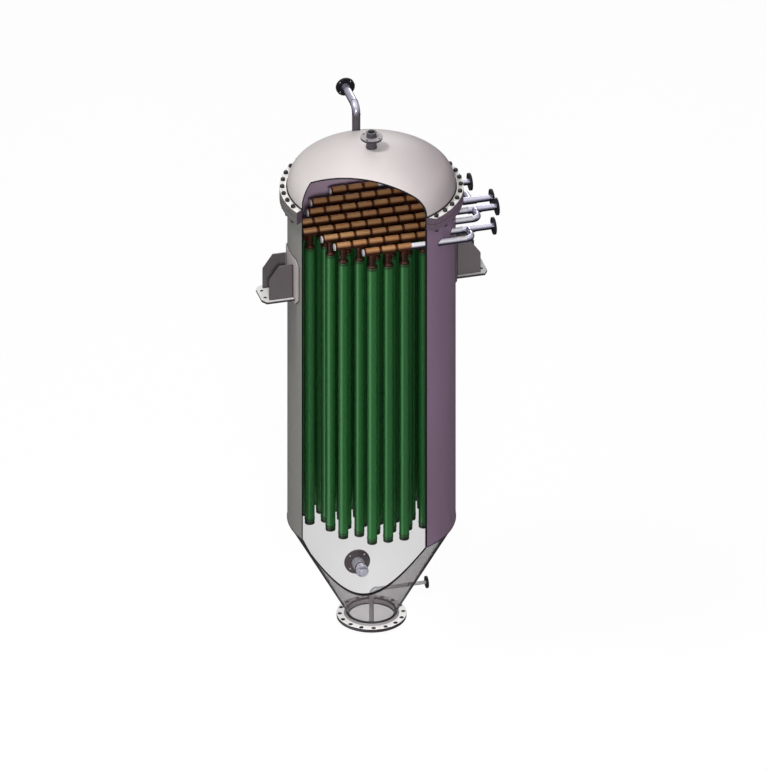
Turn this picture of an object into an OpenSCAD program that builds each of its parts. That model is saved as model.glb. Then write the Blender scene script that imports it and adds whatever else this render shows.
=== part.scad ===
// Candle filter: a cone-bottomed vessel with hanging filter candles on eight tee registers.
// A front sector of the shell, the body flanges, the head and the cone is cut away over the full
// height, so that the registers and the candles show. Lengths are in millimetres.
// The origin is the centre of the discharge flange's lower face, with X along the registers
// towards the outlets, Y towards the back and Z up.

/* [Vessel] */
// Inside diameter of the shell
shell_id = 1200; // [1180:10:1300]
// Thickness of the shell, cone and head plate
wall = 8; // [6:1:12]
// Height of the straight shell, from the cone to the face of the body flange
shell_h = 2695; // [2650:5:2900]
// Height of the cone, from the top of the discharge flange's hub to the shell
cone_h = 790; // [740:5:850]
// Outside diameter of the cone's small end
neck_od = 355.6; // [323.9:0.1:406.4]
// Crown radius of the head as a share of its outside diameter
crown_share = 0.8; // [0.78:0.01:0.9]
// Knuckle radius of the head as a share of its outside diameter
knuckle_share = 0.154; // [0.1:0.002:0.16]
// Height of the head's straight skirt above its flange
skirt_h = 16; // [8:1:40]

/* [Discharge flange] */
// Thickness of the discharge flange's plate
discharge_t = 26; // [24:1:34]
// Height of the flange's hub above its plate
discharge_hub_h = 14; // [8:1:20]
// Width of the hub's foot, outward from the neck
discharge_hub_foot = 22; // [14:1:26]
// Width of the hub's top edge
discharge_hub_top = 6; // [4:1:10]
// Diameter of the discharge bolt circle beyond the neck's outside
discharge_pcd_over = 104.4; // [90:0.1:120]
// Number of discharge bolt holes
discharge_bolts = 16; // [8:4:20]
// Diameter of the discharge bolt holes
discharge_hole_d = 22; // [18:1:26]
// Plate outside the bolt circle, from the circle to the rim
discharge_rim = 22.5; // [20:0.5:30]

/* [Body flange] */
// Thickness of each body flange
body_flange_t = 48; // [36:1:60]
// Radial distance from the shell's outside to the bolt circle
bolt_circle_over = 37; // [32:1:50]
// Plate outside the bolt circle, from the circle to the rim
body_rim = 20; // [20:1:30]
// Number of bolts around the whole flange
bolt_count = 40; // [24:4:44]
// Diameter of the studs
stud_d = 20; // [16:1:22]
// Diameter of a bolt hole beyond the stud
stud_hole_over = 3; // [2:0.5:4]
// Thickness of the gasket
gasket_t = 4; // [2:0.5:6]

/* [Cut-away] */
// Left corner of the window in plan, along X
cut_x = -491; // [-520:1:-440]
// Left corner of the window in plan, along Y
cut_y = -140; // [-180:1:-100]
// Angle of the long cut from the X axis
cut_angle = 28.4; // [24:0.05:32]
// Angle of the short left cut from the X axis
side_cut_angle = 37; // [30:1:60]

/* [Registers] */
// Depth of the register axes below the body flange face
register_drop = 220; // [180:1:260]
// Distance between register axes
row_pitch = 132; // [126:1:134]
// Distance between candles on a register
candle_pitch = 120; // [112:1:123]
// Outside diameter of the register pipe
register_od = 48.3; // [44:0.1:50]
// Wall of the register pipe
register_wall = 3.6; // [2.6:0.1:5]
// Wall of a tee outside the pipe
tee_wall = 5.3; // [4:0.1:8]
// Length of a tee along its register
tee_len = 98; // [88:1:102]
// Depth of the pipe inside a tee's socket
socket_depth = 18; // [12:1:22]
// Outside diameter of a tee's branch
branch_od = 50; // [44:1:54]
// Distance from the register axis to the branch's lower face
branch_drop = 50; // [44:1:56]
// Pipe that shows between the last tee and the end cap
end_stub = 12; // [8:1:20]
// Thickness of the end cap
end_cap_t = 10; // [6:1:14]
// Diameter of the end cap beyond the pipe
end_cap_over = 3; // [0:0.5:8]

/* [Outlets] */
// Distance from the shell's outside to the first outlet column
column_1_out = 24; // [20:1:60]
// Distance from the first to the second outlet column
column_gap = 118; // [100:1:160]
// Distance from the first column to the end faces of its outlets
outlet_1_reach = 200; // [180:1:240]
// Distance from the second column to the end faces of its outlets
outlet_2_reach = 175; // [150:1:220]
// Bend radius of the outlet elbows
elbow_r = 48; // [40:1:57]
// Half length of an outlet tee's run
outlet_tee_half = 50; // [44:1:60]
// Distance from an outlet tee's run axis to its branch end
outlet_tee_branch = 48; // [44:1:56]
// Wall of an outlet tee outside the pipe
outlet_tee_wall = 3.5; // [3:0.1:6]
// Outside diameter of an outlet flange
outlet_flange_od = 130; // [120:1:150]
// Bolt circle of an outlet flange
outlet_pcd = 100; // [95:1:110]
// Diameter of an outlet flange's bolt holes
outlet_hole_d = 14; // [11:1:18]
// Thickness of an outlet flange
outlet_flange_t = 16; // [12:1:20]

/* [Candles] */
// Outside diameter of the filter sleeve
sleeve_od = 72; // [68:1:80]
// Wall of the filter sleeve
sleeve_wall = 3; // [2:0.5:4]
// Height from the sleeve's top edge to the candle's lower end
candle_len = 2295; // [1900:1:2300]
// Depth of the sleeve's top edge below the register axis
sleeve_drop = 130; // [126:1:150]
// Height of the bottom cap that shows
bottom_cap_h = 28; // [20:1:40]
// Length of the spigots inside the sleeve's ends
spigot_h = 24; // [20:1:40]
// Outside diameter of the core tube
core_od = 60; // [54:1:61]
// Wall of the core tube
core_wall = 2; // [1.5:0.5:4]
// Outside diameter of the union ring under a tee
union_od = 57; // [54:1:62]
// Height of the union ring
union_h = 26; // [18:1:30]
// Outside diameter of the candle's screwed nipple
nipple_od = 33.7; // [30:0.1:38]
// Bore of the candle head
candle_bore = 26; // [20:1:27]
// Length of nipple inside the tee's branch
nipple_in = 16; // [10:1:22]
// Height of a clamp band
clamp_h = 10; // [6:1:14]
// Thickness of a clamp band
clamp_t = 1.4; // [1:0.1:2]

/* [Lugs] */
// Half width of a pad along the shell, between its side edges
pad_half = 165; // [150:1:180]
// Height of a pad
pad_h = 367; // [340:1:400]
// Thickness of a pad
pad_t = 10; // [8:1:14]
// Chamfer of a pad's corners
pad_chamfer = 42; // [20:1:60]
// Distance from the shell flange's face down to the top of the base plates
lug_drop = 728; // [707:1:1027]
// Depth of a pad's lower edge below the base plate's upper face
pad_below = 42; // [30:1:60]
// Radial length of a gusset from the shell
gusset_len = 182; // [170:1:200]
// Height of a gusset
gusset_h = 268; // [240:1:290]
// Thickness of a gusset
gusset_t = 12; // [8:1:16]
// Distance between the two gussets of a lug
gusset_gap = 182; // [170:1:200]
// Radial size of a gusset's outer chamfer
gusset_cut_x = 75; // [50:1:90]
// Height of a gusset's outer chamfer
gusset_cut_z = 108; // [80:1:130]
// Thickness of a base plate
base_t = 16; // [12:1:20]
// Radial length of a base plate from the shell
base_len = 235; // [220:1:260]
// Width of a base plate
base_w = 250; // [226:1:270]
// Tangential size of a base plate's corner cuts
base_cut_w = 44; // [20:1:50]
// Radial size of a base plate's corner cuts
base_cut_len = 28; // [15:1:40]
// Diameter of the anchor bolt holes
anchor_hole_d = 24; // [18:1:26]
// Distance between a lug's two anchor bolt holes
anchor_gap = 100; // [90:1:110]
// Distance from the shell's outside to the anchor holes
anchor_out = 200; // [190:1:208]

/* [Head nozzles] */
// Outside diameter of the centre nozzle's pipe
centre_od = 76.1; // [70:0.1:84]
// Wall of the centre nozzle's pipe
centre_wall = 3.6; // [2.6:0.1:5]
// Height of the centre nozzle's flange above the head
centre_up = 72; // [60:1:100]
// Outside diameter of the centre flange
centre_flange_od = 160; // [155:1:180]
// Bolt circle of the centre flange
centre_pcd = 130; // [122:1:138]
// Thickness of the centre flange
centre_flange_t = 16; // [12:1:20]
// Outside diameter of the socket on the centre flange
socket_od = 72; // [66:1:76]
// Height of the socket
socket_h = 38; // [30:1:50]
// Bore of the socket, which takes the rinse pipe
socket_bore = 48.9; // [44:0.1:52]
// Depth of the socket's bore
socket_bore_h = 24; // [16:1:28]
// Waterway through the centre flange
socket_way = 40; // [30:1:43]
// Distance of the vent from the vessel's axis
vent_out = 424; // [380:1:440]
// Outside diameter of the vent pipe
vent_od = 60.3; // [54:0.1:64]
// Wall of the vent pipe
vent_wall = 3.6; // [2.6:0.1:5]
// Height of the vent's horizontal axis above the head's top
vent_up = 98; // [80:1:120]
// Bend radius of the vent elbow
vent_elbow_r = 62; // [50:1:70]
// Distance from the riser to the vent's end face
vent_reach = 310; // [280:1:340]
// Outside diameter of the vent flange
vent_flange_od = 140; // [132:1:160]
// Bolt circle of the vent flange
vent_pcd = 110; // [104:1:118]
// Thickness of the vent flange
vent_flange_t = 16; // [12:1:20]

/* [Cone nozzles] */
// Height of the feed nozzle's axis
feed_z = 228; // [200:1:260]
// Outside diameter of the feed pipe
feed_od = 88.9; // [80:0.1:95]
// Wall of the feed pipe
feed_wall = 4; // [3:0.1:6]
// Length of the feed pipe inside the cone wall
feed_in = 38; // [30:1:60]
// Distance from the cone's outside to the feed's end face
feed_reach = 126; // [110:1:150]
// Outside diameter of the feed flange
feed_flange_od = 190; // [184:1:210]
// Bolt circle of the feed flange
feed_pcd = 150; // [142:1:160]
// Diameter of the feed flange's bolt holes
feed_hole_d = 18; // [14:1:20]
// Thickness of the feed flange
feed_flange_t = 18; // [14:1:22]
// Height of the heel drain's horizontal axis
drain_z = 216; // [200:1:240]
// Outside diameter of the drain pipe
drain_od = 26.9; // [24:0.1:30]
// Wall of the drain pipe
drain_wall = 2.6; // [2:0.1:3.5]
// Distance from the cone's outside to the drain's end face
drain_reach = 146; // [120:1:170]
// Outside diameter of the drain flange
drain_flange_od = 90; // [86:1:100]
// Bolt circle of the drain flange
drain_pcd = 65; // [60:1:68]
// Diameter of the drain flange's bolt holes
drain_hole_d = 11; // [9:1:12]
// Thickness of the drain flange
drain_flange_t = 14; // [10:1:18]
// Bend radius of the drain elbow
drain_elbow_r = 38; // [34:1:50]
// Outside diameter of the drain elbow and the dip pipe
dip_od = 33.7; // [32:0.1:40]
// Wall of the dip pipe
dip_wall = 3.2; // [2:0.1:5]
// Length of dip pipe below the discharge flange
dip_below = 50; // [20:1:80]

/* [Fits] */
// Radial clearance where a pipe or plate sits in or on a curved face
fit_gap = 0.3; // [0.2:0.05:0.5]
// Diameter of the bolt holes in the two head nozzle flanges
nozzle_hole_d = 14; // [11:1:18]

/* [Hidden] */

$fn = 48;
fine = 120;
cut_over = 1;
far = 3000;

shell_or = shell_id / 2 + wall;
shell_ir = shell_id / 2;
neck_foot = 2;
cone_z = discharge_t + discharge_hub_h + 2;
shell_z = cone_z + cone_h;
face_z = shell_z + shell_h;
head_z = face_z + gasket_t;
head_flange_top = head_z + body_flange_t;
knuckle_z = head_flange_top + skirt_h;
bolt_r = shell_or + bolt_circle_over;
body_flange_r = bolt_r + body_rim;
stud_hole_r = (stud_d + stud_hole_over) / 2;
nut_flats = 1.5 * stud_d;
nut_r = nut_flats / 2 / cos(30);
nut_h = 0.9 * stud_d;
stud_past_nut = 6;

crown_r = crown_share * 2 * shell_or;
knuckle_r = knuckle_share * 2 * shell_or;
knuckle_x = shell_or - knuckle_r;
crown_z = knuckle_z - sqrt(pow(crown_r - knuckle_r, 2) - pow(knuckle_x, 2));
crown_edge = asin(knuckle_x / (crown_r - knuckle_r));
head_top = crown_z + crown_r;
head_steps = 18;
centre_hole_r = centre_od / 2 + fit_gap;

register_z = face_z - register_drop;
register_or = register_od / 2;
register_ir = register_or - register_wall;
tee_or = register_or + fit_gap + tee_wall;
row_counts = [3, 6, 7, 9, 9, 7, 6, 3];
row_last = len(row_counts) - 1;

column_1 = shell_or + column_1_out;
column_2 = column_1 + column_gap;
// Each entry is a register's index, its partner's index and its outlet column
joined_rows = [[0, 1, 1], [7, 6, 1], [2, 3, 2], [5, 4, 2]];
outlet_tee_or = register_or + fit_gap + outlet_tee_wall;
outlet_socket = 14;

sleeve_top = register_z - sleeve_drop;
candle_end = sleeve_top - candle_len;
sleeve_end = candle_end + bottom_cap_h;
sleeve_ir = sleeve_od / 2 - sleeve_wall;
spigot_r = sleeve_ir - fit_gap;
union_top = register_z - branch_drop;
union_end = union_top - union_h;
nipple_r = nipple_od / 2;
collar_h = 22;
neck_r = 24;

lug_z = face_z - lug_drop;
lug_angles = [180, 0, 90];
pad_r = shell_or + fit_gap;
lug_r = pad_r + pad_t;

// Row positions across the vessel, and candle positions along a register
function row_y(row) = (row_last / 2 - row) * row_pitch;
function candle_x(row, i) = (i - (row_counts[row] - 1) / 2) * candle_pitch;
function row_end(row) = candle_x(row, row_counts[row] - 1) + tee_len / 2;

// Outside radius of the cone at a height, and height of the head's outside at a radius
function cone_r(z) = neck_od / 2 + (z - cone_z) * (shell_or - neck_od / 2) / cone_h;
function head_height(r) = crown_z + sqrt(pow(crown_r, 2) - pow(r, 2));

// How far a point in plan lies beyond the long cut and beyond the short one
function past_long_cut(p) = -(p[0] - cut_x) * sin(cut_angle) - (p[1] - cut_y) * cos(cut_angle);
function past_side_cut(p) =
    (p[0] - cut_x) * sin(side_cut_angle) - (p[1] - cut_y) * cos(side_cut_angle);
function bolt_place(i) =
    [bolt_r * cos((i + 0.5) * 360 / bolt_count), bolt_r * sin((i + 0.5) * 360 / bolt_count)];
function clear_of_cut(p) = min(past_long_cut(p), past_side_cut(p)) < -(nut_r + 1);
bolt_places = [for (i = [0 : bolt_count - 1]) if (clear_of_cut(bolt_place(i))) bolt_place(i)];

// The sector that is cut away, over a span of heights
module window(z0, z1) {
    translate([0, 0, z0 - cut_over])
        linear_extrude(z1 - z0 + 2 * cut_over)
            polygon([
                [cut_x, cut_y],
                [cut_x + far * cos(cut_angle), cut_y - far * sin(cut_angle)],
                [cut_x - far * cos(side_cut_angle), cut_y - far * sin(side_cut_angle)]
            ]);
}

// A tube along Z from height z0 to z1
module tube(z0, z1, r_out, r_in) {
    difference() {
        translate([0, 0, z0]) cylinder(h = z1 - z0, r = r_out);
        translate([0, 0, z0 - cut_over]) cylinder(h = z1 - z0 + 2 * cut_over, r = r_in);
    }
}

// Turns what is modelled along Z to lie along X or Y
module along_x() rotate([0, 90, 0]) children();
module along_y() rotate([-90, 0, 0]) children();

// A plate flange along Z with its end face at height z1
module plate_flange(z1, t, r_out, r_in, pcd, count, hole_d, start = 0) {
    difference() {
        tube(z1 - t, z1, r_out, r_in);
        for (i = [0 : count - 1])
            rotate([0, 0, start + i * 360 / count])
                translate([pcd / 2, 0, z1 - t - cut_over])
                    cylinder(h = t + 2 * cut_over, d = hole_d, $fn = 24);
    }
}

// A quarter bend from the direction X to the direction Y, with its start at the origin
module bend(radius, r_out, r_in) {
    translate([0, radius, 0])
        rotate([0, 0, -90])
            rotate_extrude(angle = 90)
                translate([radius, 0])
                    difference() {
                        circle(r = r_out);
                        circle(r = r_in);
                    }
}

// A tee with its run along X and its branch along -Z, with sockets for the pipes
module pipe_tee(run, r_out, way, socket_r, depth, branch_len, branch_r, branch_socket_r, branch_depth) {
    difference() {
        union() {
            translate([-run / 2, 0, 0]) along_x() cylinder(h = run, r = r_out);
            translate([0, 0, -branch_len]) cylinder(h = branch_len, r = branch_r);
        }
        translate([-run / 2 - cut_over, 0, 0]) along_x() cylinder(h = run + 2 * cut_over, r = way);
        translate([-run / 2 - cut_over, 0, 0]) along_x() cylinder(h = depth + cut_over, r = socket_r);
        translate([run / 2 - depth, 0, 0]) along_x() cylinder(h = depth + cut_over, r = socket_r);
        translate([0, 0, -branch_len - cut_over]) cylinder(h = branch_len + cut_over, r = way * 0.8);
        translate([0, 0, -branch_len - cut_over])
            cylinder(h = branch_depth + cut_over, r = branch_socket_r);
    }
}

// Points up the head's face from the skirt to the centre hole, at a distance inside its outside
function head_curve(inset) =
    let (
        knuckle_in = knuckle_r - inset,
        crown_in = crown_r - inset,
        knuckle_turn = 90 - crown_edge,
        crown_turn = crown_edge - asin(centre_hole_r / crown_in)
    )
    concat(
        [[shell_or - inset, head_z]],
        [for (i = [0 : head_steps])
            let (a = i * knuckle_turn / head_steps)
            [knuckle_x + knuckle_in * cos(a), knuckle_z + knuckle_in * sin(a)]],
        [for (i = [1 : head_steps])
            let (a = crown_edge - i * crown_turn / head_steps)
            [crown_in * sin(a), crown_z + crown_in * cos(a)]]
    );
function reversed(points) = [for (i = [len(points) - 1 : -1 : 0]) points[i]];

module shell() {
    color("#8c828c")
    difference() {
        translate([0, 0, shell_z]) cylinder(h = shell_h, r = shell_or, $fn = fine);
        translate([0, 0, shell_z - cut_over])
            cylinder(h = shell_h + 2 * cut_over, r = shell_ir, $fn = fine);
        window(shell_z, face_z);
        for (row = [0 : row_last])
            translate([0, row_y(row), register_z])
                along_x() cylinder(h = shell_or + cut_over, r = register_or + fit_gap);
    }
}

// A body flange ring with its lower face at height z
module body_flange(z) {
    difference() {
        translate([0, 0, z]) cylinder(h = body_flange_t, r = body_flange_r, $fn = fine);
        translate([0, 0, z - cut_over])
            cylinder(h = body_flange_t + 2 * cut_over, r = shell_or + fit_gap, $fn = fine);
        window(z, z + body_flange_t);
        for (place = bolt_places)
            translate([place[0], place[1], z - cut_over])
                cylinder(h = body_flange_t + 2 * cut_over, r = stud_hole_r, $fn = 24);
    }
}

module shell_flange() color("#e6e4e1") body_flange(face_z - body_flange_t);

module head_flange() color("#e6e4e1") body_flange(head_z);

module head_gasket() {
    color("#3a3a3a")
    difference() {
        translate([0, 0, face_z])
            cylinder(h = gasket_t, r = bolt_r - stud_hole_r - 3, $fn = fine);
        translate([0, 0, face_z - cut_over])
            cylinder(h = gasket_t + 2 * cut_over, r = shell_ir + 2, $fn = fine);
        window(face_z, head_z);
    }
}

module head_studs() {
    color("#4c4c50")
    for (place = bolt_places)
        translate([place[0], place[1], face_z - body_flange_t - nut_h - stud_past_nut])
            cylinder(
                h = 2 * (body_flange_t + nut_h + stud_past_nut) + gasket_t,
                d = stud_d,
                $fn = 24
            );
}

// One nut at each stud, with its lower face at height z
module nuts(z) {
    for (place = bolt_places)
        translate([place[0], place[1], z])
            difference() {
                cylinder(h = nut_h, r = nut_r, $fn = 6);
                translate([0, 0, -cut_over])
                    cylinder(h = nut_h + 2 * cut_over, r = stud_d / 2 + fit_gap, $fn = 24);
            }
}

module head_lower_nuts() color("#3c3c40") nuts(face_z - body_flange_t - nut_h);

module head_upper_nuts() color("#3c3c40") nuts(head_flange_top);

module head() {
    color("#d9d5d2")
    difference() {
        rotate_extrude($fn = fine) polygon(concat(head_curve(0), reversed(head_curve(wall))));
        window(head_z, head_top);
        translate([0, vent_out, knuckle_z]) cylinder(h = head_top, r = vent_od / 2 + fit_gap);
    }
}

module discharge_cone() {
    neck_r_out = neck_od / 2;
    color("#aaa6a6", 0.6)
    difference() {
        rotate_extrude($fn = fine)
            polygon([
                [neck_r_out, neck_foot],
                [neck_r_out, cone_z],
                [shell_or, shell_z],
                [shell_ir, shell_z],
                [neck_r_out - wall, cone_z],
                [neck_r_out - wall, neck_foot]
            ]);
        window(cone_z, shell_z);
        translate([0, 0, feed_z]) along_y() cylinder(h = shell_or, r = feed_od / 2 + fit_gap);
        translate([0, 0, drain_z]) along_x() cylinder(h = shell_or, r = drain_od / 2 + fit_gap);
    }
}

module discharge_flange() {
    bore_r = neck_od / 2 + fit_gap;
    pcd = neck_od + discharge_pcd_over;
    hub_z = discharge_t + discharge_hub_h;
    color("#f2f0ee")
    difference() {
        rotate_extrude($fn = fine)
            polygon([
                [bore_r, 0],
                [pcd / 2 + discharge_rim, 0],
                [pcd / 2 + discharge_rim, discharge_t],
                [bore_r + discharge_hub_foot, discharge_t],
                [bore_r + discharge_hub_top, hub_z],
                [bore_r, hub_z]
            ]);
        for (i = [0 : discharge_bolts - 1])
            rotate([0, 0, (i + 0.5) * 360 / discharge_bolts])
                translate([pcd / 2, 0, -cut_over])
                    cylinder(h = discharge_t + 2 * cut_over, d = discharge_hole_d, $fn = 24);
    }
}

centre_flange_z = head_top + centre_up;

module centre_nozzle_pipe() {
    color("#5a5360")
    tube(
        head_height(centre_od / 2) - 2 * wall,
        centre_flange_z,
        centre_od / 2,
        centre_od / 2 - centre_wall
    );
}

module centre_nozzle_flange() {
    color("#b9b4b2")
    plate_flange(
        centre_flange_z + centre_flange_t,
        centre_flange_t,
        centre_flange_od / 2,
        socket_way / 2,
        centre_pcd,
        4,
        nozzle_hole_d,
        45
    );
}

module centre_nozzle_socket() {
    socket_z = centre_flange_z + centre_flange_t;
    color("#4e4754")
    difference() {
        tube(socket_z, socket_z + socket_h, socket_od / 2, socket_way / 2);
        translate([0, 0, socket_z + socket_h - socket_bore_h])
            cylinder(h = socket_bore_h + cut_over, d = socket_bore);
    }
}

vent_z = head_top + vent_up;

module vent_riser() {
    color("#404044")
    translate([0, vent_out, 0])
        tube(
            head_height(vent_out + vent_od / 2) - wall,
            vent_z - vent_elbow_r,
            vent_od / 2,
            vent_od / 2 - vent_wall
        );
}

module vent_elbow() {
    color("#f4f4f4")
    translate([0, vent_out, vent_z - vent_elbow_r])
        rotate([0, -90, 0])
            bend(vent_elbow_r, vent_od / 2, vent_od / 2 - vent_wall);
}

module vent_pipe() {
    color("#f4f4f4")
    translate([0, vent_out, vent_z])
        along_y() tube(vent_elbow_r, vent_reach - 2, vent_od / 2, vent_od / 2 - vent_wall);
}

module vent_flange() {
    color("#26262a")
    translate([0, vent_out, vent_z])
        along_y()
            plate_flange(
                vent_reach,
                vent_flange_t,
                vent_flange_od / 2,
                vent_od / 2 + fit_gap,
                vent_pcd,
                4,
                nozzle_hole_d,
                45
            );
}

// A lug's pad, gussets and base plate are modelled at +X and turned to each lug's place
module lug_pad() {
    pad_z = lug_z - pad_below;
    intersection() {
        translate([0, 0, pad_z])
            difference() {
                cylinder(h = pad_h, r = lug_r, $fn = fine);
                translate([0, 0, -cut_over])
                    cylinder(h = pad_h + 2 * cut_over, r = pad_r, $fn = fine);
            }
        along_x()
            linear_extrude(2 * shell_or)
                translate([-pad_z, 0])
                    polygon([
                        [0, pad_chamfer - pad_half],
                        [0, pad_half - pad_chamfer],
                        [-pad_chamfer, pad_half],
                        [pad_chamfer - pad_h, pad_half],
                        [-pad_h, pad_half - pad_chamfer],
                        [-pad_h, pad_chamfer - pad_half],
                        [pad_chamfer - pad_h, -pad_half],
                        [-pad_chamfer, -pad_half]
                    ]);
    }
}

module lug_gusset() {
    difference() {
        rotate([90, 0, 0])
            linear_extrude(gusset_t, center = true)
                polygon([
                    [shell_or / 2, lug_z],
                    [shell_or + gusset_len, lug_z],
                    [shell_or + gusset_len, lug_z + gusset_h - gusset_cut_z],
                    [shell_or + gusset_len - gusset_cut_x, lug_z + gusset_h],
                    [shell_or / 2, lug_z + gusset_h]
                ]);
        translate([0, 0, lug_z - cut_over])
            cylinder(h = gusset_h + 2 * cut_over, r = shell_or + pad_t);
    }
}

module lug_base() {
    edge = shell_or + base_len;
    difference() {
        translate([0, 0, lug_z - base_t])
            linear_extrude(base_t)
                polygon([
                    [shell_or / 2, -base_w / 2],
                    [edge - base_cut_len, -base_w / 2],
                    [edge, base_cut_w - base_w / 2],
                    [edge, base_w / 2 - base_cut_w],
                    [edge - base_cut_len, base_w / 2],
                    [shell_or / 2, base_w / 2]
                ]);
        translate([0, 0, lug_z - base_t - cut_over])
            cylinder(h = base_t + 2 * cut_over, r = lug_r + fit_gap, $fn = fine);
        for (side = [-1, 1])
            translate([shell_or + anchor_out, side * anchor_gap / 2, lug_z - base_t - cut_over])
                cylinder(h = base_t + 2 * cut_over, d = anchor_hole_d, $fn = 24);
    }
}

module lug_pads() {
    color("#a5a3a3")
    for (angle = lug_angles)
        rotate([0, 0, angle]) lug_pad();
}

module lug_gussets() {
    color("#5f5a5b")
    for (angle = lug_angles)
        rotate([0, 0, angle])
            difference() {
                for (side = [-1, 1])
                    translate([0, side * gusset_gap / 2, 0]) lug_gusset();
                translate([0, 0, lug_z - cut_over])
                    cylinder(h = gusset_h + 2 * cut_over, r = lug_r + fit_gap, $fn = fine);
            }
}

module lug_bases() {
    color("#f2f2f2")
    for (angle = lug_angles)
        rotate([0, 0, angle]) lug_base();
}

feed_face = cone_r(feed_z) + feed_reach;

module feed_pipe() {
    color("#b8b6b8")
    translate([0, 0, feed_z])
        along_y()
            tube(cone_r(feed_z) - feed_in, feed_face - 2, feed_od / 2, feed_od / 2 - feed_wall);
}

module feed_flange() {
    color("#8f8d90")
    translate([0, 0, feed_z])
        along_y()
            plate_flange(
                feed_face,
                feed_flange_t,
                feed_flange_od / 2,
                feed_od / 2 + fit_gap,
                feed_pcd,
                4,
                feed_hole_d,
                45
            );
}

drain_face = cone_r(drain_z) + drain_reach;

module drain_pipe() {
    color("#7c7a7c")
    translate([0, 0, drain_z])
        along_x() tube(drain_elbow_r, drain_face - 2, drain_od / 2, drain_od / 2 - drain_wall);
}

module drain_flange() {
    color("#4a4a4e")
    translate([0, 0, drain_z])
        along_x()
            plate_flange(
                drain_face,
                drain_flange_t,
                drain_flange_od / 2,
                drain_od / 2 + fit_gap,
                drain_pcd,
                4,
                drain_hole_d,
                45
            );
}

module drain_elbow() {
    color("#7c7a7c")
    translate([0, 0, drain_z - drain_elbow_r])
        rotate([0, 0, -90])
            rotate([0, -90, 0])
                bend(drain_elbow_r, dip_od / 2, drain_od / 2 - drain_wall);
}

module drain_dip_pipe() {
    color("#7c7a7c")
    tube(-dip_below, drain_z - drain_elbow_r, dip_od / 2, dip_od / 2 - dip_wall);
}

// Where a register's pipe ends at its elbow or tee, and the column it goes to
function column_x(row) =
    [for (pair = joined_rows) if (pair[0] == row || pair[1] == row) pair[2] == 1 ? column_1 : column_2][0];
function is_outlet(row) = len([for (pair = joined_rows) if (pair[1] == row) 1]) > 0;
function outlet_face(row) = column_x(row) == column_1 ? column_1 + outlet_1_reach : column_2 + outlet_2_reach;

// A length of register pipe along X
module register_length(x0, x1) along_x() tube(x0, x1, register_or, register_ir);

// The nipples between a register's tees, its end stub and the pipe through the shell
module register_pipes(row) {
    gap = candle_pitch - tee_len;
    run_end = is_outlet(row) ? column_x(row) - outlet_tee_half + outlet_socket : column_x(row) - elbow_r;
    color("#4a2f1c")
    translate([0, row_y(row), register_z]) {
        for (i = [0 : row_counts[row] - 2])
            translate([candle_x(row, i) + candle_pitch / 2, 0, 0])
                register_length(-gap / 2 - socket_depth, gap / 2 + socket_depth);
        register_length(-row_end(row) - end_stub, -row_end(row) + socket_depth);
        register_length(row_end(row) - socket_depth, run_end);
    }
}

module register_tees(row) {
    color("#8a5a34")
    for (i = [0 : row_counts[row] - 1])
        translate([candle_x(row, i), row_y(row), register_z])
            pipe_tee(
                tee_len,
                tee_or,
                register_ir,
                register_or + fit_gap,
                socket_depth,
                branch_drop,
                branch_od / 2,
                nipple_r + fit_gap,
                nipple_in + fit_gap
            );
}

module register_end_caps() {
    color("#efefef")
    for (row = [0 : row_last])
        translate([-row_end(row) - end_stub - end_cap_t, row_y(row), register_z])
            along_x() cylinder(h = end_cap_t, d = register_od + end_cap_over);
}

// The direction from a joined register towards its partner
function toward(pair) = sign(row_y(pair[1]) - row_y(pair[0]));

module outlet_elbows() {
    color("#f0eef4")
    for (pair = joined_rows)
        translate([column_x(pair[0]) - elbow_r, row_y(pair[0]), register_z])
            mirror([0, toward(pair) > 0 ? 0 : 1, 0])
                bend(elbow_r, register_or, register_ir);
}

module outlet_tees() {
    color("#e6e4ee")
    for (pair = joined_rows)
        translate([column_x(pair[1]), row_y(pair[1]), register_z])
            rotate([-90 * toward(pair), 0, 0])
                pipe_tee(
                    2 * outlet_tee_half,
                    outlet_tee_or,
                    register_ir,
                    register_or + fit_gap,
                    outlet_socket,
                    outlet_tee_branch,
                    outlet_tee_or,
                    register_or + fit_gap,
                    outlet_socket
                );
}

// The pipe between each elbow and its outlet tee, and the pipe from the tee to the flange
module outlet_pipes() {
    color("#f0eef4")
    for (pair = joined_rows) {
        translate([column_x(pair[0]), row_y(pair[0]), register_z])
            rotate([-90 * toward(pair), 0, 0])
                tube(
                    elbow_r,
                    row_pitch - outlet_tee_branch + outlet_socket,
                    register_or,
                    register_ir
                );
        translate([0, row_y(pair[1]), register_z])
            register_length(
                column_x(pair[1]) + outlet_tee_half - outlet_socket,
                outlet_face(pair[1]) - 2
            );
    }
}

module outlet_flanges() {
    color("#22222c")
    for (pair = joined_rows)
        translate([0, row_y(pair[1]), register_z])
            along_x()
                plate_flange(
                    outlet_face(pair[1]),
                    outlet_flange_t,
                    outlet_flange_od / 2,
                    register_or + fit_gap,
                    outlet_pcd,
                    4,
                    outlet_hole_d,
                    45
                );
}

// Puts a copy of its children at every candle of a register
module at_candles(row) {
    for (i = [0 : row_counts[row] - 1])
        translate([candle_x(row, i), row_y(row), 0]) children();
}

module candle_sleeves(row) {
    color("#2f7a45")
    at_candles(row) tube(sleeve_end, sleeve_top, sleeve_od / 2, sleeve_ir);
}

module candle_cores() {
    color("#9a9a9e")
    for (row = [0 : row_last])
        at_candles(row)
            tube(sleeve_end + spigot_h, sleeve_top - spigot_h, core_od / 2, core_od / 2 - core_wall);
}

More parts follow.
